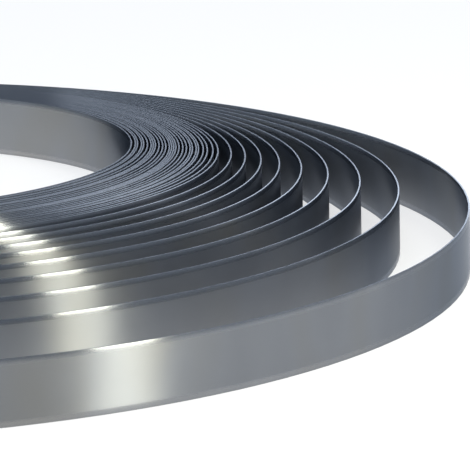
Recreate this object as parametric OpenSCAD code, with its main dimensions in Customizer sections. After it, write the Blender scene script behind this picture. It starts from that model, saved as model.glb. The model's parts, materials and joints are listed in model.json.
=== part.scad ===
// Coil of stainless steel strip: one long strip wound on its edge, lying flat on its side.
// The inner turns lie close together round a bore. The outer turns have sprung apart:
// they stay close at the back and open out to the right, the left and most of all to the front.
// Every turn is four quarter circles that run on smoothly from one another.
// Millimetres. Bore axis on the Z axis, lower edge of the strip on the plane Z = 0, back of the coil at +Y.

/* [Strip] */
// Width of the strip, which is the height of the coil as it lies
strip_width = 19; // [8:0.5:40]
// Thickness of the strip
strip_thickness = 0.5; // [0.3:0.05:1.2]

/* [Close turns] */
// Diameter of the bore inside the innermost turn
bore_diameter = 200; // [100:1:300]
// Number of turns that lie close together
close_turns = 27; // [6:1:40]
// Play between neighbouring turns at the back, where the coil is tightest
back_play = 0.1; // [0.1:0.01:0.4]
// Extra room that the close turns take up together at the right
close_room_right = 14.5; // [2:0.5:30]
// Extra room that the close turns take up together at the left
close_room_left = 11.5; // [2:0.5:30]

/* [Loose turns] */
// Number of outer turns that have sprung apart
loose_turns = 9; // [2:1:12]
// Room that the loose turns open up together at the right
loose_room_right = 79; // [20:1:120]
// Room that the loose turns open up together at the left
loose_room_left = 77; // [20:1:120]
// Share of the room at the right that is spread evenly over the loose turns; the outer ones take the rest
even_share_right = 0.5; // [0:0.05:1]
// Share of the room at the left that is spread evenly over the loose turns; the outer ones take the rest
even_share_left = 0; // [0:0.05:1]
// Further room at the right that the outermost turn takes with its free end
free_turn_room = 8.5; // [0:0.5:20]

/* [Hidden] */
// Step in which the path of the strip is laid out
path_step = 0.01;
// A quarter turn, in degrees
quarter = 90;
// A half share
half_share = 0.5;
// Exponent by which the uneven room grows from turn to turn
growth = 3;
// Facets of a full round
$fn = 144;
// Distance from one turn to the next at the back
back_pitch = strip_thickness + back_play;
// Radius of the bore
bore_radius = bore_diameter * half_share;
// Outermost turn, counted from 0
last_turn = close_turns + loose_turns - 1;

// A length to the nearest step of the path
function stepped(length) = round(length / path_step) * path_step;

// Shares of the way through the close turns and through the loose turns, at turn i
function close_share(i) = min(i, close_turns - 1) / (close_turns - 1);
function loose_share(i) = max(0, i - close_turns + 1) / loose_turns;
// Share of the loose turns' room that is taken up at turn i
function room_share(i, even_share) =
    even_share * loose_share(i) + (1 - even_share) * pow(loose_share(i), growth);
// Further room of turn i at the right, which only the outermost turn has
function end_room(i) = i == last_turn ? free_turn_room : 0;

// Room of turn i at the right and at the left, beyond what it has at the back
function right_room(i) =
    close_room_right * close_share(i) + loose_room_right * room_share(i, even_share_right) + end_room(i);
function left_room(i) =
    close_room_left * close_share(i) + loose_room_left * room_share(i, even_share_left);

// Reach of the strip's inner face at turn i, towards each side
function back_reach(i) = stepped(bore_radius + back_pitch * i);
function right_reach(i) = back_reach(i) + stepped(right_room(i));
function left_reach(i) = back_reach(i) + stepped(left_room(i));

// Sideways step at the back by which the second turn clears the round innermost one; later turns keep it
function side_step(i) = i == 0 ? 0 : back_reach(1) - back_reach(0);
// Half of the way that turn i moves out on its round, taken up at the front; the innermost one stays round
function front_shift(i) = i == 0 ? 0 : (back_reach(i + 1) - back_reach(i)) * half_share;
// Radii of the strip's inner face in the quarters of turn i
function back_right_radius(i) = right_reach(i);
function front_right_radius(i) = left_reach(i) - front_shift(i);
function front_left_radius(i) = right_reach(i) + front_shift(i);
function back_left_radius(i) = left_reach(i) + side_step(i + 1) - side_step(i);
// Lines through the centres of the quarters of turn i
function rear_line(i) = back_reach(i) - back_right_radius(i);
function side_line(i) = side_step(i) + back_right_radius(i) - front_right_radius(i);
function front_line(i) = rear_line(i) - front_right_radius(i) + front_left_radius(i);

// A quarter turn of strip with its inner face bent to one radius, from the given angle on
module bent_quarter(centre, radius, from_angle) {
    translate(centre)
        rotate(from_angle)
            rotate_extrude(angle = quarter)
                translate([radius, 0])
                    square([strip_thickness, strip_width]);
}

// Turn i from the back over the right and the front to the left
module open_turn(i) {
    bent_quarter([side_step(i), rear_line(i)], back_right_radius(i), 0);
    bent_quarter([side_line(i), rear_line(i)], front_right_radius(i), -quarter);
    bent_quarter([side_line(i), front_line(i)], front_left_radius(i), -quarter - quarter);
}

// The quarter at the back left that leads from turn i into the next one
module lead_on(i) {
    bent_quarter([side_step(i + 1), front_line(i)], back_left_radius(i), quarter);
}

// The whole strip, from its inner end at the back to its free outer end at the left
module strip_coil() {
    color([0.62, 0.63, 0.65]) {
        for (i = [0 : last_turn])
            open_turn(i);
        for (i = [0 : last_turn - 1])
            lead_on(i);
    }
}

strip_coil();
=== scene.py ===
"""Looks of a coil of stainless steel strip: the sprung strip and the pale studio floor under it."""
import json
import math

import bpy
import numpy as np
from mathutils import Matrix, Vector


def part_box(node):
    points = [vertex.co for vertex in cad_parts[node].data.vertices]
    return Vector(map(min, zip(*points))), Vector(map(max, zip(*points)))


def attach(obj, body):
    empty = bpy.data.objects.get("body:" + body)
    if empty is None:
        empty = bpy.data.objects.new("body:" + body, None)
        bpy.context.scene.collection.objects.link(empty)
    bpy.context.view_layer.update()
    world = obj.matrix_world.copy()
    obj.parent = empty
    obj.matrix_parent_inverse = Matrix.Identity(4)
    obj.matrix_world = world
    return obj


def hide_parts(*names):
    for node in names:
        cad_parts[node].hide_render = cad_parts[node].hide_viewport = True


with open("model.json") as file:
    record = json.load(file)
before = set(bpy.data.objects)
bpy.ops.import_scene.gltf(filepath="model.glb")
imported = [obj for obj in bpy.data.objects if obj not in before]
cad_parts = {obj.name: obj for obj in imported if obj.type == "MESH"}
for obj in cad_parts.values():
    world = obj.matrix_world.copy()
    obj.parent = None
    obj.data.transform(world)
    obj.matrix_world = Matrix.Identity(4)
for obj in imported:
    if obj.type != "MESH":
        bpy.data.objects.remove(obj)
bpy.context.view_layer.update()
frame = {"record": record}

bl_info = {
    "name": "Coil of stainless steel strip",
    "version": (1, 0, 0),
    "blender": (4, 5, 0),
    "location": "3D View > Sidebar > Coil",
    "description": "Winds a sprung coil of stainless strip and lays it on a pale studio floor",
    "category": "Object",
}

NODE = "strip_coil"
BODY = "root"
NODE_LOW, NODE_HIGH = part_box(NODE)
BORE = next(m for m in frame["record"]["mounts"] if m["name"] == "bore")
MM = 0.001

# Winding: rounding of the turns that is overlooked, the part of a turn by which the outermost one
# ends early, and what every wide gap has besides its chance part and the width of a tight one
TURN_SLACK = 0.0005
TURN_SHORT = 0.25
WIDE_EXTRA = 0.3

# Marks on the steel: how far apart the two faces read the noise, smears to the metre both ways,
# and the sizes of the rolling lines and of the dull patches in metres
FACES_APART = 40.0
SMEARS_ALONG = 28.0
SMEARS_ACROSS = 12.0
LINE_LENGTH = 0.06
LINE_WIDTH = 0.00035
LINE_DEPTH = 0.00002
PATCH_SIZE = 0.03

# Tone of the steel: parts of smears and patches in the dulling, the noise over which the dulling
# goes and the stains come, and how much of the edge's darker tone the face takes where it rolls
# over, which is painted shade along each edge of the face
DULL_SMEARS = 0.7
DULL_PATCHES = 0.3
DULL_RANGE = (0.35, 0.65)
STAIN_RANGE = (0.48, 0.72)
ROLLED_PAINTED_SHADE = 0.4

# Roughness of the steel: what patches and lines add to the face, with their mean taken off first,
# what the dressed corner adds to the edge, and how fast and how far the rolled-over face nears it
ROUGH_MEAN = 0.06
ROUGH_PATCHES = 0.08
ROUGH_LINES = 0.04
ROUGH_CORNER = 0.3
ROLLED_PACE = 2.0
ROLLED_MOST = 0.8

# Shine of the steel: spread across the strip, a quarter turn from its run, and cool at a low glance
SHINE_SPREAD = 1.0
SHINE_TURN = 0.25
SHINE_TINT = (0.415, 0.448, 0.505, 1.0)

# Floor: half its width, and how far it lies below the strip
FLOOR_REACH = 6.0
FLOOR_DROP = 0.0001

# Room: angles above the floor at which the ceiling sets in and is full
CEILING_STARTS = math.radians(34)
CEILING_FULL = math.radians(68)

# Soft lamps: name, place, the spot that they shine on, width, height and the setting of their power
SOFT_LAMPS = (
    ("main_lamp", (0.11, -1.26, 1.8), (0.05, -0.1, 0.0), 1.2, 1.2, "main_power"),
    ("rear_lamp", (0.115, 2.2, 0.45), (0.115, 0.0, 0.0), 1.08, 0.19, "rear_power"),
    ("side_lamp", (1.5, 2.0, 1.2), (0.12, -0.1, 0.0), 2.4, 1.4, "side_power"),
    ("low_lamp", (2.3, 0.15, 0.36), (0.12, -0.1, 0.0), 2.6, 0.7, "low_power"),
)

# Arch of slim lamps: the spot of the coil that it stands round, its distance, the lean of a surface
# that mirrors the lowest lamp, the step to the next lamp, a small lean that tells which way a lamp
# runs, and the lamps' width, tint and shares of the power from the lowest up
ARCH_MIDDLE = Vector((0.125, -0.20, 0.015))
ARCH_AWAY = 0.75
ARCH_LOWEST = math.radians(9)
ARCH_STEP = math.radians(13)
ARCH_NUDGE = 0.02
ARCH_LAMP_WIDTH = 0.145
ARCH_TINT = (1.0, 0.985, 0.82)
ARCH_SHARES = (0.05, 0.57, 0.27, 0.11)

# Camera: width of the picture in pixels and of the sensor in millimetres, and how near and how far
# it sees
PHOTO_WIDTH = 470
SENSOR_WIDTH = 36.0
CLIP_NEAR, CLIP_FAR = 0.05, 60.0


def length(label, text, default):
    """A length that a user may change, in metres."""
    return bpy.props.FloatProperty(
        name=label, description=text, default=default, min=0.0, unit="LENGTH", precision=5
    )


def share(label, text, default):
    """A share or strength that a user may change."""
    return bpy.props.FloatProperty(
        name=label, description=text, default=default, min=0.0, max=1.0, subtype="FACTOR"
    )


def angle(label, text, default):
    """An angle that a user may change."""
    return bpy.props.FloatProperty(name=label, description=text, default=default, subtype="ANGLE")


def power(label, text, default):
    """A lamp's power that a user may change."""
    return bpy.props.FloatProperty(
        name=label, description=text, default=default, min=0, unit="POWER"
    )


def number(label, text, default, lowest=0):
    """A whole number that a user may change."""
    return bpy.props.IntProperty(name=label, description=text, default=default, min=lowest)


def tint(label, text, default):
    """A colour that a user may change."""
    return bpy.props.FloatVectorProperty(
        name=label, description=text, default=default, size=3, min=0.0, max=1.0, subtype="COLOR"
    )


class StripSizes(bpy.types.PropertyGroup):
    """Sizes of the strip and of its turns."""

    strip_width: length("Strip width", "Height of the coil as it lies", NODE_HIGH.z - NODE_LOW.z)
    strip_thickness: length("Strip thickness", "Thickness of the strip", 0.5 * MM)
    edge_round: length("Edge rounding", "Radius to which the slit edges are dressed", 0.05 * MM)
    bore_radius: length(
        "Bore radius", "Radius inside the innermost turn", BORE["dims"]["r_mm"] * MM
    )
    back_play: length("Back play", "Play between neighbouring turns at the back", 0.1 * MM)
    close_turns: number("Close turns", "Turns that lie close together", 27, 2)
    close_room_right: length(
        "Close room, right", "Extra room of all close turns at the right", 14.5 * MM
    )
    close_room_left: length(
        "Close room, left", "Extra room of all close turns at the left", 11.5 * MM
    )
    loose_turns: number("Loose turns", "Outer turns that have sprung apart", 9, 1)
    loose_room_right: length("Loose room, right", "Room of all loose turns at the right", 79 * MM)
    loose_room_left: length("Loose room, left", "Room of all loose turns at the left", 77 * MM)
    even_share_right: share("Even share, right", "Share of the right room spread evenly", 0.5)
    even_share_left: share("Even share, left", "Share of the left room spread evenly", 0.0)
    free_turn_room: length(
        "Free turn room", "Further room of the outermost turn at the right", 8.5 * MM
    )
    tight_share: share(
        "Tight gaps", "Share of the gaps between close turns that are tight", 0.36
    )
    tight_gap: share("Tight gap", "Width of a tight gap, as a share of a wide one", 0.2)
    bunching_seed: number(
        "Bunching seed", "Which of the gaps between close turns are the tight ones", 45887051
    )
    crowding: length(
        "Crowding", "How strongly the close turns crowd inwards at the right", 9.7 * MM
    )
    crowding_heading: angle(
        "Crowding heading", "Middle of the side where the close turns crowd", math.radians(8)
    )
    crowding_span: angle(
        "Crowding span", "How far the crowding reaches to either hand", math.radians(52)
    )
    steps_per_turn: number("Steps per turn", "Facets of one turn, a multiple of four", 144, 16)


class StripFinish(bpy.types.PropertyGroup):
    """Colours and finish of the steel."""

    # The two faces' tones are set apart for the light that each gets: painted light on the inner
    # face, painted shade on the outer
    steel_out_shade_tone: tint(
        "Outer face", "Face of the strip that looks away from the bore", (0.301, 0.311, 0.33)
    )
    steel_in_lit_tone: tint(
        "Inner face", "Face of the strip that looks to the bore", (0.425, 0.433, 0.447)
    )
    # The edge's tone is darker than either face: painted shade, also spread onto the faces near
    # each edge
    edge: tint("Edge", "Dressed edge of the strip", (0.235, 0.242, 0.254))
    stain: tint("Stain", "Tint of the faint stains from handling", (0.88, 0.84, 0.75))
    dulling: share("Dulling", "How much darker the dull patches of the faces are", 0.18)
    face_roughness: share("Face roughness", "Roughness of the rolled faces", 0.33)
    edge_roughness: share("Edge roughness", "Roughness of the dressed edges", 0.20)
    edge_band: length(
        "Edge band", "Width along each edge over which the face rolls over", 2.0 * MM
    )
    edge_fall: length("Edge fall", "How far the face falls away over that width", 0.27 * MM)
    rolling_lines: share("Rolling lines", "Strength of the fine lines along the strip", 0.03)


class StageSettings(bpy.types.PropertyGroup):
    """Floor, room, lamps and camera."""

    floor: tint("Floor", "Colour of the pale floor", (0.40, 0.40, 0.40))
    floor_white: share(
        "Floor white", "How much white the floor shows beyond the light that falls on it", 0.60
    )
    room: tint("Room", "Colour of the dim room round the floor", (0.255, 0.315, 0.405))
    ceiling: tint("Ceiling", "Colour of the pale ceiling overhead", (0.83, 0.88, 0.97))
    main_power: power("Main lamp", "Power of the wide main lamp", 16.0)
    rear_power: power("Rear lamp", "Power of the slim lamp behind", 2.9)
    side_power: power("Side lamp", "Power of the wide high lamp at the right", 7.0)
    low_power: power("Low lamp", "Power of the wide low lamp at the right", 1.2)
    arch_power: power("Arch lamps", "Power of all slim lamps in the arch at the side", 4.1)
    arch_heading: angle(
        "Arch heading", "Way a face looks that mirrors the arch", math.radians(-49.3)
    )
    camera_place: bpy.props.FloatVectorProperty(
        name="Camera", description="Place of the camera", default=(0.46374, -1.69029, 0.36131),
        size=3, subtype="TRANSLATION", unit="LENGTH"
    )
    camera_heading: angle("Heading", "Way the camera looks, from +X round to +Y", 1.76255)
    camera_dip: angle("Dip", "How far the camera looks down", 0.21026)
    camera_roll: angle("Roll", "How far the camera leans", 0.01911)
    camera_reach: bpy.props.FloatProperty(
        name="Reach", description="Distance to the image plane, in pixels of the picture",
        default=5522.46, min=1
    )


class Bench:
    """Adds nodes to one tree, laid out in rows, and joins them up."""

    ROW_LENGTH, COLUMN_STEP, ROW_STEP = 12, 180, 190

    def __init__(self, tree):
        self.tree = tree
        self.made = 0

    def add(self, kind, feeds=None, **settings):
        """A new node with its settings, and its inputs fed by name or place."""
        node = self.tree.nodes.new(kind)
        row, column = divmod(self.made, self.ROW_LENGTH)
        node.location = (self.COLUMN_STEP * column, -self.ROW_STEP * row)
        self.made += 1
        for name, value in settings.items():
            setattr(node, name, value)
        for name, value in (feeds or {}).items():
            self.feed(node.inputs[name], value)
        return node

    def feed(self, socket, value):
        """Joins a socket to another, or gives it a plain value."""
        if isinstance(value, bpy.types.NodeSocket):
            self.tree.links.new(value, socket)
        else:
            socket.default_value = value

    def reckon(self, operation, *values):
        """The result of one step of arithmetic."""
        node = self.add("ShaderNodeMath", operation=operation)
        for socket, value in zip(node.inputs, values):
            self.feed(socket, value)
        return node.outputs[0]

    def total(self, *values):
        """The sum of several values."""
        result = values[0]
        for value in values[1:]:
            result = self.reckon("ADD", result, value)
        return result

    def vector(self, x, y, z):
        """Three values as one vector."""
        return self.add("ShaderNodeCombineXYZ", {"X": x, "Y": y, "Z": z}).outputs[0]

    def pick(self, place, *values):
        """The value at the given place in a row of values."""
        node = self.add("GeometryNodeIndexSwitch", data_type="FLOAT")
        while len(node.index_switch_items) < len(values):
            node.index_switch_items.new()
        self.feed(node.inputs[0], place)
        for socket, value in zip(list(node.inputs)[1:], values):
            self.feed(socket, value)
        return node.outputs[0]

    def carry(self, value, given, wanted, **settings):
        """A value carried from one range over to another."""
        feeds = dict(enumerate((value, *given, *wanted)))
        return self.add("ShaderNodeMapRange", feeds, **settings).outputs[0]

    def blend(self, factor, first, second, manner="MIX"):
        """One colour blended with another; the places are those of a mix node's colours."""
        feeds = {"Factor": factor, 6: first, 7: second}
        return self.add("ShaderNodeMix", feeds, data_type="RGBA", blend_type=manner).outputs[2]


def cleared_bench(block):
    """A bench for the emptied nodes of a material or a world."""
    block.use_nodes = True
    block.node_tree.nodes.clear()
    return Bench(block.node_tree)


WINDING_INPUTS = (
    ("Strip Width", "NodeSocketFloat", "strip_width"),
    ("Strip Thickness", "NodeSocketFloat", "strip_thickness"),
    ("Edge Rounding", "NodeSocketFloat", "edge_round"),
    ("Bore Radius", "NodeSocketFloat", "bore_radius"),
    ("Back Play", "NodeSocketFloat", "back_play"),
    ("Close Turns", "NodeSocketInt", "close_turns"),
    ("Close Room Right", "NodeSocketFloat", "close_room_right"),
    ("Close Room Left", "NodeSocketFloat", "close_room_left"),
    ("Loose Turns", "NodeSocketInt", "loose_turns"),
    ("Loose Room Right", "NodeSocketFloat", "loose_room_right"),
    ("Loose Room Left", "NodeSocketFloat", "loose_room_left"),
    ("Even Share Right", "NodeSocketFloat", "even_share_right"),
    ("Even Share Left", "NodeSocketFloat", "even_share_left"),
    ("Free Turn Room", "NodeSocketFloat", "free_turn_room"),
    ("Tight Share", "NodeSocketFloat", "tight_share"),
    ("Tight Gap", "NodeSocketFloat", "tight_gap"),
    ("Bunching Seed", "NodeSocketInt", "bunching_seed"),
    ("Crowding", "NodeSocketFloat", "crowding"),
    ("Crowding Heading", "NodeSocketFloat", "crowding_heading"),
    ("Crowding Span", "NodeSocketFloat", "crowding_span"),
    ("Steps Per Turn", "NodeSocketInt", "steps_per_turn"),
)


def winding_tree():
    """Geometry nodes that wind one strip into close and loose turns of four quarter circles."""
    tree = bpy.data.node_groups.new("strip winding", "GeometryNodeTree")
    tree.interface.new_socket("Geometry", in_out="INPUT", socket_type="NodeSocketGeometry")
    for label, kind, _ in WINDING_INPUTS:
        tree.interface.new_socket(label, in_out="INPUT", socket_type=kind)
    tree.interface.new_socket("Steel", in_out="INPUT", socket_type="NodeSocketMaterial")
    tree.interface.new_socket("Geometry", in_out="OUTPUT", socket_type="NodeSocketGeometry")
    b = Bench(tree)
    given = b.add("NodeGroupInput").outputs
    do = b.reckon

    def note(geometry, name, value, kind="FLOAT"):
        """The geometry with a value noted at each of its points."""
        return b.add(
            "GeometryNodeStoreNamedAttribute",
            {"Geometry": geometry, "Name": name, "Value": value},
            data_type=kind, domain="POINT",
        ).outputs[0]

    # How many points the path has: the outermost turn ends after three quarters
    steps = given["Steps Per Turn"]
    turns = b.total(given["Close Turns"], given["Loose Turns"])
    count = b.total(do("MULTIPLY", steps, do("SUBTRACT", turns, TURN_SHORT)), 1.0)
    line = b.add("GeometryNodeMeshLine", {"Count": count})

    # Turn and quarter of each point, and its heading, clockwise from the back
    index = b.add("GeometryNodeInputIndex").outputs[0]
    wound = do("DIVIDE", index, steps)
    turn = do("FLOOR", do("ADD", wound, TURN_SLACK))
    way = do("MAXIMUM", do("SUBTRACT", wound, turn), 0.0)
    quarters = do("FLOOR", do("MULTIPLY", do("ADD", way, TURN_SLACK), 4.0))
    quarter = do("MINIMUM", quarters, 3.0)
    heading = do("MULTIPLY_ADD", way, -2 * math.pi, math.pi / 2)
    across_x, across_y = do("COSINE", heading), do("SINE", heading)

    # How far the turn is through the close turns, with their tight and wide gaps: each gap is
    # counted once, where its turn starts, and whole numbers are compared half way between two
    last_close = do("SUBTRACT", given["Close Turns"], 1.0)
    first = do("LESS_THAN", turn, 0.5)
    later = do("SUBTRACT", 1.0, first)
    chance = b.add(
        "FunctionNodeRandomValue", {"ID": turn, "Seed": given["Bunching Seed"]}, data_type="FLOAT"
    ).outputs[1]
    wide = do("GREATER_THAN", chance, given["Tight Share"])
    gap = do("MULTIPLY_ADD", wide, do("ADD", chance, WIDE_EXTRA), given["Tight Gap"])
    starts = do("LESS_THAN", way, TURN_SLACK)
    opens = do("MULTIPLY", starts, do("LESS_THAN", turn, do("ADD", last_close, 0.5)))
    gaps = b.add(
        "GeometryNodeAccumulateField",
        {"Value": do("MULTIPLY", do("MULTIPLY", gap, opens), later)},
        data_type="FLOAT", domain="POINT",
    )
    close_share = do("DIVIDE", gaps.outputs["Leading"], gaps.outputs["Total"])

    # How far the turn is through the loose turns
    past_close = do("MAXIMUM", do("SUBTRACT", turn, last_close), 0.0)
    loose_share = do("DIVIDE", past_close, given["Loose Turns"])
    cubed = do("POWER", loose_share, 3.0)
    outermost = do("GREATER_THAN", turn, do("SUBTRACT", turns, 1.5))

    def room(side):
        """Room of the turn at one side, beyond what it has at the back."""
        even = given[f"Even Share {side}"]
        growing = do("MULTIPLY", do("SUBTRACT", 1.0, even), cubed)
        spread = do("ADD", do("MULTIPLY", even, loose_share), growing)
        close_part = do("MULTIPLY", given[f"Close Room {side}"], close_share)
        return do("ADD", close_part, do("MULTIPLY", given[f"Loose Room {side}"], spread))

    # Reach of the strip's inner face towards each side, and the radii and centres of the quarters
    pitch = do("ADD", given["Strip Thickness"], given["Back Play"])
    back = do("MULTIPLY_ADD", pitch, turn, given["Bore Radius"])
    free_part = do("MULTIPLY", outermost, given["Free Turn Room"])
    right = b.total(back, room("Right"), free_part)
    left = do("ADD", back, room("Left"))
    side_step = do("MULTIPLY", pitch, later)
    front_shift = do("MULTIPLY", side_step, 0.5)
    front_right = do("SUBTRACT", left, front_shift)
    front_left = do("ADD", right, front_shift)
    back_left = do("MULTIPLY_ADD", pitch, first, left)
    rear_line = do("SUBTRACT", back, right)
    side_line = b.total(side_step, do("SUBTRACT", right, front_right))
    front_line = b.total(rear_line, do("SUBTRACT", front_left, front_right))

    # Close turns also crowd inwards round the right side
    crowd = do("MULTIPLY", do("POWER", close_share, 2.0), do("SUBTRACT", 1.0, close_share))
    off_heading = do("SUBTRACT", heading, given["Crowding Heading"])
    off_middle = do("ABSOLUTE", do("DIVIDE", off_heading, given["Crowding Span"]))
    nearness = do("COSINE", do("MULTIPLY", do("MINIMUM", off_middle, 1.0), math.pi / 2))
    most_drawn = do("MULTIPLY", crowd, given["Crowding"])
    drawn_in = do("MULTIPLY", most_drawn, do("MULTIPLY", nearness, nearness))

    # The path runs along the middle of the strip's thickness, at half its width
    radius = b.pick(quarter, right, front_right, front_left, back_left)
    centre_x = b.pick(quarter, side_step, side_line, side_line, pitch)
    centre_y = b.pick(quarter, rear_line, rear_line, front_line, front_line)
    half = do("MULTIPLY", given["Strip Thickness"], 0.5)
    middle = do("SUBTRACT", do("ADD", radius, half), drawn_in)
    half_width = do("MULTIPLY", given["Strip Width"], 0.5)
    place = b.vector(
        do("MULTIPLY_ADD", middle, across_x, centre_x),
        do("MULTIPLY_ADD", middle, across_y, centre_y),
        half_width,
    )
    laid = b.add("GeometryNodeSetPosition", {"Geometry": line.outputs[0], "Position": place})
    outward = b.vector(across_x, across_y, 0.0)
    marked = note(laid.outputs[0], "outward", outward, "FLOAT_VECTOR")
    path = b.add("GeometryNodeMeshToCurve", {"Mesh": marked})
    upright = b.add("GeometryNodeSetCurveNormal", {"Curve": path.outputs[0]}, mode="Z_UP")
    measured = b.add("GeometryNodeSplineParameter").outputs["Length"]
    run = note(upright.outputs[0], "along", measured)

    # Section of the strip: its edges dressed to a small radius
    section = b.add(
        "GeometryNodeCurvePrimitiveQuadrilateral",
        {"Width": given["Strip Thickness"], "Height": given["Strip Width"]},
        mode="RECTANGLE",
    )
    dressed = b.add(
        "GeometryNodeFilletCurve",
        {"Curve": section.outputs[0], "Radius": given["Edge Rounding"], "Count": 2},
        mode="POLY",
    )
    position = b.add("GeometryNodeInputPosition").outputs[0]
    spot = b.add("ShaderNodeSeparateXYZ", {0: position}).outputs

    def lean(value, reach):
        """How far the strip faces one way here, from -1 to 1: the sweep turns the section round."""
        flat = do("MULTIPLY", do("SIGN", value), do("SUBTRACT", reach, given["Edge Rounding"]))
        return do("DIVIDE", do("SUBTRACT", flat, value), given["Edge Rounding"])

    shape = note(dressed.outputs[0], "face_out", lean(spot[0], half))
    shape = note(shape, "edge_up", lean(spot[1], half_width))
    shape = note(shape, "across", do("SUBTRACT", half_width, spot[1]))

    swept = b.add(
        "GeometryNodeCurveToMesh", {"Curve": run, "Profile Curve": shape, "Fill Caps": True}
    )
    smooth = b.add(
        "GeometryNodeSetShadeSmooth", {"Geometry": swept.outputs[0], "Shade Smooth": True}
    )
    real = b.add("GeometryNodeRealizeInstances", {"Geometry": smooth.outputs[0]})
    clad = b.add(
        "GeometryNodeSetMaterial", {"Geometry": real.outputs[0], "Material": given["Steel"]}
    )
    b.add("NodeGroupOutput", {"Geometry": clad.outputs[0]})
    return tree


def true_normals(mesh):
    """Gives every corner the exact normal of the bent strip, so that its faces show no facets."""
    points = len(mesh.vertices)

    def read(name, size):
        """What the winding has noted at the points under one name."""
        values = np.zeros(points * size, np.float32)
        mesh.attributes[name].data.foreach_get("vector" if size == 3 else "value", values)
        return values.reshape(points, size)

    outward, face_out, edge_up = read("outward", 3), read("face_out", 1), read("edge_up", 1)
    upward, tiny = np.array([[0.0, 0.0, 1.0]], np.float32), 1e-9
    exact = outward * face_out + upward * edge_up
    exact /= np.maximum(np.linalg.norm(exact, axis=1, keepdims=True), tiny)
    corners = np.zeros(len(mesh.loops), np.int32)
    mesh.loops.foreach_get("vertex_index", corners)
    normals = exact[corners]

    # The two cut ends are the faces with more than four corners, and stay flat
    facing = np.zeros(len(mesh.polygons) * 3, np.float32)
    mesh.polygons.foreach_get("normal", facing)
    facing = facing.reshape(-1, 3)
    for face in mesh.polygons:
        if face.loop_total > 4:
            normals[face.loop_start:face.loop_start + face.loop_total] = facing[face.index]
    mesh.normals_split_custom_set(normals.tolist())


def rolled_surface_group():
    """Shader group for cold rolled steel: fine lines along the strip, dull patches and smears."""
    tree = bpy.data.node_groups.new("rolled surface", "ShaderNodeTree")
    for label in ("Along", "Across", "Side", "Line Length", "Line Width", "Patch Size"):
        tree.interface.new_socket(label, in_out="INPUT", socket_type="NodeSocketFloat")
    for label in ("Lines", "Patches", "Smears"):
        tree.interface.new_socket(label, in_out="OUTPUT", socket_type="NodeSocketFloat")
    b = Bench(tree)
    given = b.add("NodeGroupInput").outputs
    do = b.reckon
    along, across, patch = given["Along"], given["Across"], given["Patch Size"]
    side = do("MULTIPLY", given["Side"], FACES_APART)

    def noise(run, rise, detail, roughness):
        """Noise at one place of the strip, and another one for each face."""
        return b.add("ShaderNodeTexNoise", {
            "Vector": b.vector(run, rise, side),
            "Scale": 1.0, "Detail": detail, "Roughness": roughness,
        }, noise_dimensions="3D").outputs[0]

    line_run = do("DIVIDE", along, given["Line Length"])
    line_rise = do("DIVIDE", across, given["Line Width"])
    patch_run, patch_rise = do("DIVIDE", along, patch), do("DIVIDE", across, patch)
    smear_run = do("MULTIPLY", along, SMEARS_ALONG)
    smear_rise = do("MULTIPLY", across, SMEARS_ACROSS)
    b.add("NodeGroupOutput", {
        "Lines": noise(line_run, line_rise, detail=3.0, roughness=0.6),
        "Patches": noise(patch_run, patch_rise, detail=4.0, roughness=0.55),
        "Smears": noise(smear_run, smear_rise, detail=2.0, roughness=0.5),
    })
    return tree


def noted(b, name):
    """A value that the winding has noted on the strip."""
    node = b.add("ShaderNodeAttribute", attribute_name=name, attribute_type="GEOMETRY")
    return node.outputs["Fac"]


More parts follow.
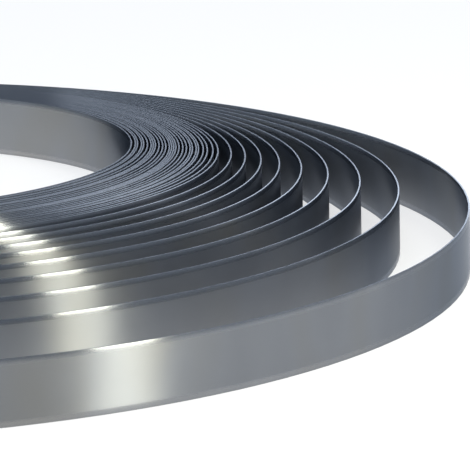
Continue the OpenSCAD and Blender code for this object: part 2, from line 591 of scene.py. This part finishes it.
def steel_material(sizes, finish):
    """Cold rolled stainless strip: two faces, dressed edges, and faces that roll over to them."""
    material = bpy.data.materials.new("stainless strip")
    b = cleared_bench(material)
    do = b.reckon
    across, face_out = noted(b, "across"), noted(b, "face_out")
    on_edge = do("ABSOLUTE", noted(b, "edge_up"))
    surface = b.add("ShaderNodeGroup", {
        "Along": noted(b, "along"), "Across": across, "Side": face_out,
        "Line Length": LINE_LENGTH, "Line Width": LINE_WIDTH, "Patch Size": PATCH_SIZE,
    }, node_tree=rolled_surface_group()).outputs
    lines, patches, smears = surface["Lines"], surface["Patches"], surface["Smears"]

    # The face rolls over along each edge and takes on something of the edge's finish there: its
    # roughness, and its darker colour as painted shade along the edge
    from_edge = do("MINIMUM", across, do("SUBTRACT", sizes.strip_width, across))
    rolled = do("MAXIMUM", do("SUBTRACT", 1.0, do("DIVIDE", from_edge, finish.edge_band)), 0.0)
    deep = do("POWER", rolled, 2.0)
    fall = do("MULTIPLY", deep, -finish.edge_fall)

    # Colour: each face has its own tone, the inner one painted lighter than the outer for the light
    # it gets (painted light and shade), dulled and stained in places, and the edge a darker one
    # (painted shade)
    outer = do("GREATER_THAN", face_out, 0.0)
    worn = do("ADD", do("MULTIPLY", smears, DULL_SMEARS), do("MULTIPLY", patches, DULL_PATCHES))
    tone = b.carry(worn, DULL_RANGE, (1.0 - finish.dulling, 1.0))
    # Painted light and shade: the inner face takes a lighter tone than the outer
    side = b.blend(outer, (*finish.steel_in_lit_tone, 1.0), (*finish.steel_out_shade_tone, 1.0))
    face = b.blend(1.0, side, tone, "MULTIPLY")
    touched = b.carry(smears, STAIN_RANGE, (0.0, 1.0))
    stained = b.blend(touched, face, (*finish.stain, 1.0), "MULTIPLY")
    # Painted shade: towards each edge the face takes part of the edge's darker colour
    edge_and_shade_line = do("MAXIMUM", on_edge, do("MULTIPLY", deep, ROLLED_PAINTED_SHADE))
    colour = b.blend(edge_and_shade_line, stained, (*finish.edge, 1.0))

    # Roughness: the dressed corner counts as one half way between face and edge, and is the dullest
    face_rough = b.total(
        finish.face_roughness - ROUGH_MEAN,
        do("MULTIPLY", patches, ROUGH_PATCHES),
        do("MULTIPLY", lines, ROUGH_LINES),
    )
    corner = do("MULTIPLY", do("MULTIPLY", on_edge, do("SUBTRACT", 1.0, on_edge)), 4.0)
    edge_rough = do("MULTIPLY_ADD", corner, ROUGH_CORNER, finish.edge_roughness)
    nearing = do("MINIMUM", do("MULTIPLY", rolled, ROLLED_PACE), ROLLED_MOST)
    rough = b.add(
        "ShaderNodeMix",
        {"Factor": do("MAXIMUM", on_edge, nearing), 2: face_rough, 3: edge_rough},
        data_type="FLOAT",
    )

    roll = b.add("ShaderNodeBump", {"Strength": 1.0, "Distance": 1.0, "Height": fall})
    bump = b.add("ShaderNodeBump", {
        "Strength": finish.rolling_lines, "Distance": LINE_DEPTH, "Height": lines,
        "Normal": roll.outputs[0],
    })
    steel = b.add("ShaderNodeBsdfPrincipled", {
        "Base Color": colour, "Metallic": 1.0, "Roughness": rough.outputs[0],
        "Normal": bump.outputs[0], "Anisotropic": SHINE_SPREAD,
        "Anisotropic Rotation": SHINE_TURN, "Specular Tint": SHINE_TINT,
    })
    b.add("ShaderNodeOutputMaterial", {"Surface": steel.outputs[0]})
    return material


class COIL_OT_wind_strip(bpy.types.Operator):
    """Winds the strip into its close and loose turns"""

    bl_idname = "coil.wind_strip"
    bl_label = "Wind the strip"

    def execute(self, context):
        sizes, finish = context.scene.strip_sizes, context.scene.strip_finish
        if sizes.steps_per_turn % 4:
            raise RuntimeError("steps per turn has to be a multiple of four")
        steel = steel_material(sizes, finish)
        tree = winding_tree()
        start = bpy.data.objects.new("strip_start", bpy.data.meshes.new("strip_start"))
        context.scene.collection.objects.link(start)
        winding = start.modifiers.new("strip winding", "NODES")
        winding.node_group = tree
        sockets = {s.name: s.identifier for s in tree.interface.items_tree if s.in_out == "INPUT"}
        for label, _, field in WINDING_INPUTS:
            winding[sockets[label]] = getattr(sizes, field)
        winding[sockets["Steel"]] = steel
        context.view_layer.update()
        settled = context.evaluated_depsgraph_get()
        ready = start.evaluated_get(settled)
        mesh = bpy.data.meshes.new_from_object(
            ready, preserve_all_data_layers=True, depsgraph=settled
        )
        start.modifiers.remove(winding)
        bpy.data.objects.remove(start)
        if not mesh.polygons:
            raise RuntimeError("the strip came out empty")
        mesh.name = "wound_strip"
        true_normals(mesh)
        strip = bpy.data.objects.new("wound_strip", mesh)
        context.scene.collection.objects.link(strip)
        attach(strip, BODY)
        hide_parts(NODE)
        return {"FINISHED"}


def floor_material(colour, white):
    """Matte pale floor that shows white to the camera and in the steel, and keeps its shadows."""
    material = bpy.data.materials.new("pale floor")
    b = cleared_bench(material)
    rays = b.add("ShaderNodeLightPath").outputs
    looks = b.total(rays["Is Camera Ray"], rays["Is Glossy Ray"], rays["Is Transmission Ray"])
    seen = b.reckon("MINIMUM", looks, 1.0)
    matte = b.add("ShaderNodeBsdfDiffuse", {"Color": (*colour, 1.0)})
    glow = b.add("ShaderNodeEmission", {
        "Color": (1.0, 1.0, 1.0, 1.0), "Strength": b.reckon("MULTIPLY", seen, white),
    })
    both = b.add("ShaderNodeAddShader", {0: matte.outputs[0], 1: glow.outputs[0]})
    b.add("ShaderNodeOutputMaterial", {"Surface": both.outputs[0]})
    return material


def room_world(room, ceiling):
    """Dim room that passes into a pale ceiling overhead."""
    world = bpy.data.worlds.new("dim room")
    b = cleared_bench(world)
    facing = b.add("ShaderNodeTexCoord").outputs["Generated"]
    height = b.add("ShaderNodeSeparateXYZ", {0: facing}).outputs["Z"]
    overhead = b.carry(
        height, (math.sin(CEILING_STARTS), math.sin(CEILING_FULL)), (0.0, 1.0),
        interpolation_type="SMOOTHSTEP",
    )
    colour = b.blend(overhead, (*room, 1.0), (*ceiling, 1.0))
    light = b.add("ShaderNodeBackground", {"Color": colour, "Strength": 1.0})
    b.add("ShaderNodeOutputWorld", {"Surface": light.outputs[0]})
    return world


def direction(heading, rise):
    """A direction by its heading, from +X round to +Y, and its rise above the floor."""
    level = math.cos(rise)
    return Vector((level * math.cos(heading), level * math.sin(heading), math.sin(rise)))


def lamp(scene, name, place, aim, width, height, watts, colour=(1.0, 1.0, 1.0)):
    """A soft rectangular lamp at one place, turned to shine on another."""
    data = bpy.data.lights.new(name, "AREA")
    data.shape = "RECTANGLE"
    data.size, data.size_y = width, height
    data.energy = watts
    data.color = colour
    obj = bpy.data.objects.new(name, data)
    obj.location = place
    obj.rotation_euler = (Vector(aim) - Vector(place)).to_track_quat("-Z", "Y").to_euler()
    obj.visible_camera = False
    scene.collection.objects.link(obj)
    return obj


def arch_of_lamps(scene, stage):
    """Slim lamps in an arch beside the coil, each mirrored by surfaces that lean up alike."""
    seen = (Vector(stage.camera_place) - ARCH_MIDDLE).normalized()

    def mirrored(rise):
        """Direction from the coil that a surface leaning up by this angle mirrors to the camera."""
        face = direction(stage.arch_heading, rise)
        return 2 * face.dot(seen) * face - seen

    for place, part in enumerate(ARCH_SHARES):
        rise = ARCH_LOWEST + place * ARCH_STEP
        out = mirrored(rise)
        along = mirrored(rise + ARCH_NUDGE) - mirrored(rise - ARCH_NUDGE)
        along = (along - out * along.dot(out)).normalized()
        turned = Matrix((along.cross(out), along, out)).transposed()
        piece = lamp(
            scene, f"arch_lamp_{place + 1}", ARCH_MIDDLE, ARCH_MIDDLE + out, ARCH_LAMP_WIDTH,
            2 * ARCH_STEP * ARCH_AWAY, part * stage.arch_power, ARCH_TINT,
        )
        piece.matrix_world = Matrix.Translation(ARCH_MIDDLE + out * ARCH_AWAY) @ turned.to_4x4()


class COIL_OT_set_stage(bpy.types.Operator):
    """Lays the pale floor and sets the lamps and the camera"""

    bl_idname = "coil.set_stage"
    bl_label = "Set the stage"

    def execute(self, context):
        scene, stage = context.scene, context.scene.stage_settings
        mesh = bpy.data.meshes.new("studio_floor")
        corners = [
            (x * FLOOR_REACH, y * FLOOR_REACH, -FLOOR_DROP)
            for x, y in ((-1, -1), (1, -1), (1, 1), (-1, 1))
        ]
        mesh.from_pydata(corners, [], [(0, 1, 2, 3)])
        mesh.materials.append(floor_material(stage.floor, stage.floor_white))
        floor = bpy.data.objects.new("studio_floor", mesh)
        scene.collection.objects.link(floor)

        scene.world = room_world(stage.room, stage.ceiling)
        for name, place, aim, width, height, setting in SOFT_LAMPS:
            lamp(scene, name, place, aim, width, height, getattr(stage, setting))
        arch_of_lamps(scene, stage)

        data = bpy.data.cameras.new("camera")
        data.sensor_fit = "HORIZONTAL"
        data.sensor_width = SENSOR_WIDTH
        data.lens = data.sensor_width * stage.camera_reach / PHOTO_WIDTH
        data.clip_start, data.clip_end = CLIP_NEAR, CLIP_FAR
        camera = bpy.data.objects.new("camera", data)
        ahead = direction(stage.camera_heading, -stage.camera_dip)
        right = ahead.cross(Vector((0.0, 0.0, 1.0))).normalized()
        up = right.cross(ahead)
        level = Matrix((right, up, -ahead)).transposed()
        turned = level @ Matrix.Rotation(-stage.camera_roll, 3, "Z")
        camera.matrix_world = Matrix.Translation(stage.camera_place) @ turned.to_4x4()
        scene.collection.objects.link(camera)
        scene.camera = camera
        scene.view_settings.view_transform = "Standard"
        return {"FINISHED"}


class VIEW3D_PT_strip_coil(bpy.types.Panel):
    """Sizes, finish and stage of the coil"""

    bl_idname = "VIEW3D_PT_strip_coil"
    bl_label = "Stainless strip coil"
    bl_space_type = "VIEW_3D"
    bl_region_type = "UI"
    bl_category = "Coil"

    def draw(self, context):
        for title, group, button in (
            ("Strip", context.scene.strip_sizes, None),
            ("Finish", context.scene.strip_finish, COIL_OT_wind_strip.bl_idname),
            ("Stage", context.scene.stage_settings, COIL_OT_set_stage.bl_idname),
        ):
            box = self.layout.box()
            box.label(text=title)
            for field in group.__annotations__:
                box.prop(group, field)
            if button:
                box.operator(button)


GROUPS = (
    ("strip_sizes", StripSizes),
    ("strip_finish", StripFinish),
    ("stage_settings", StageSettings),
)
CLASSES = (
    *(group for _, group in GROUPS),
    COIL_OT_wind_strip,
    COIL_OT_set_stage,
    VIEW3D_PT_strip_coil,
)


def register():
    """Makes the settings, the operators and the panel known."""
    for item in CLASSES:
        bpy.utils.register_class(item)
    for name, group in GROUPS:
        setattr(bpy.types.Scene, name, bpy.props.PointerProperty(type=group))


def unregister():
    """Takes them away again."""
    for name, _ in GROUPS:
        delattr(bpy.types.Scene, name)
    for item in reversed(CLASSES):
        bpy.utils.unregister_class(item)


def main():
    """Builds the coil and its stage."""
    register()
    bpy.ops.coil.wind_strip()
    bpy.ops.coil.set_stage()
    bpy.context.view_layer.update()


if __name__ == "__main__":
    main()
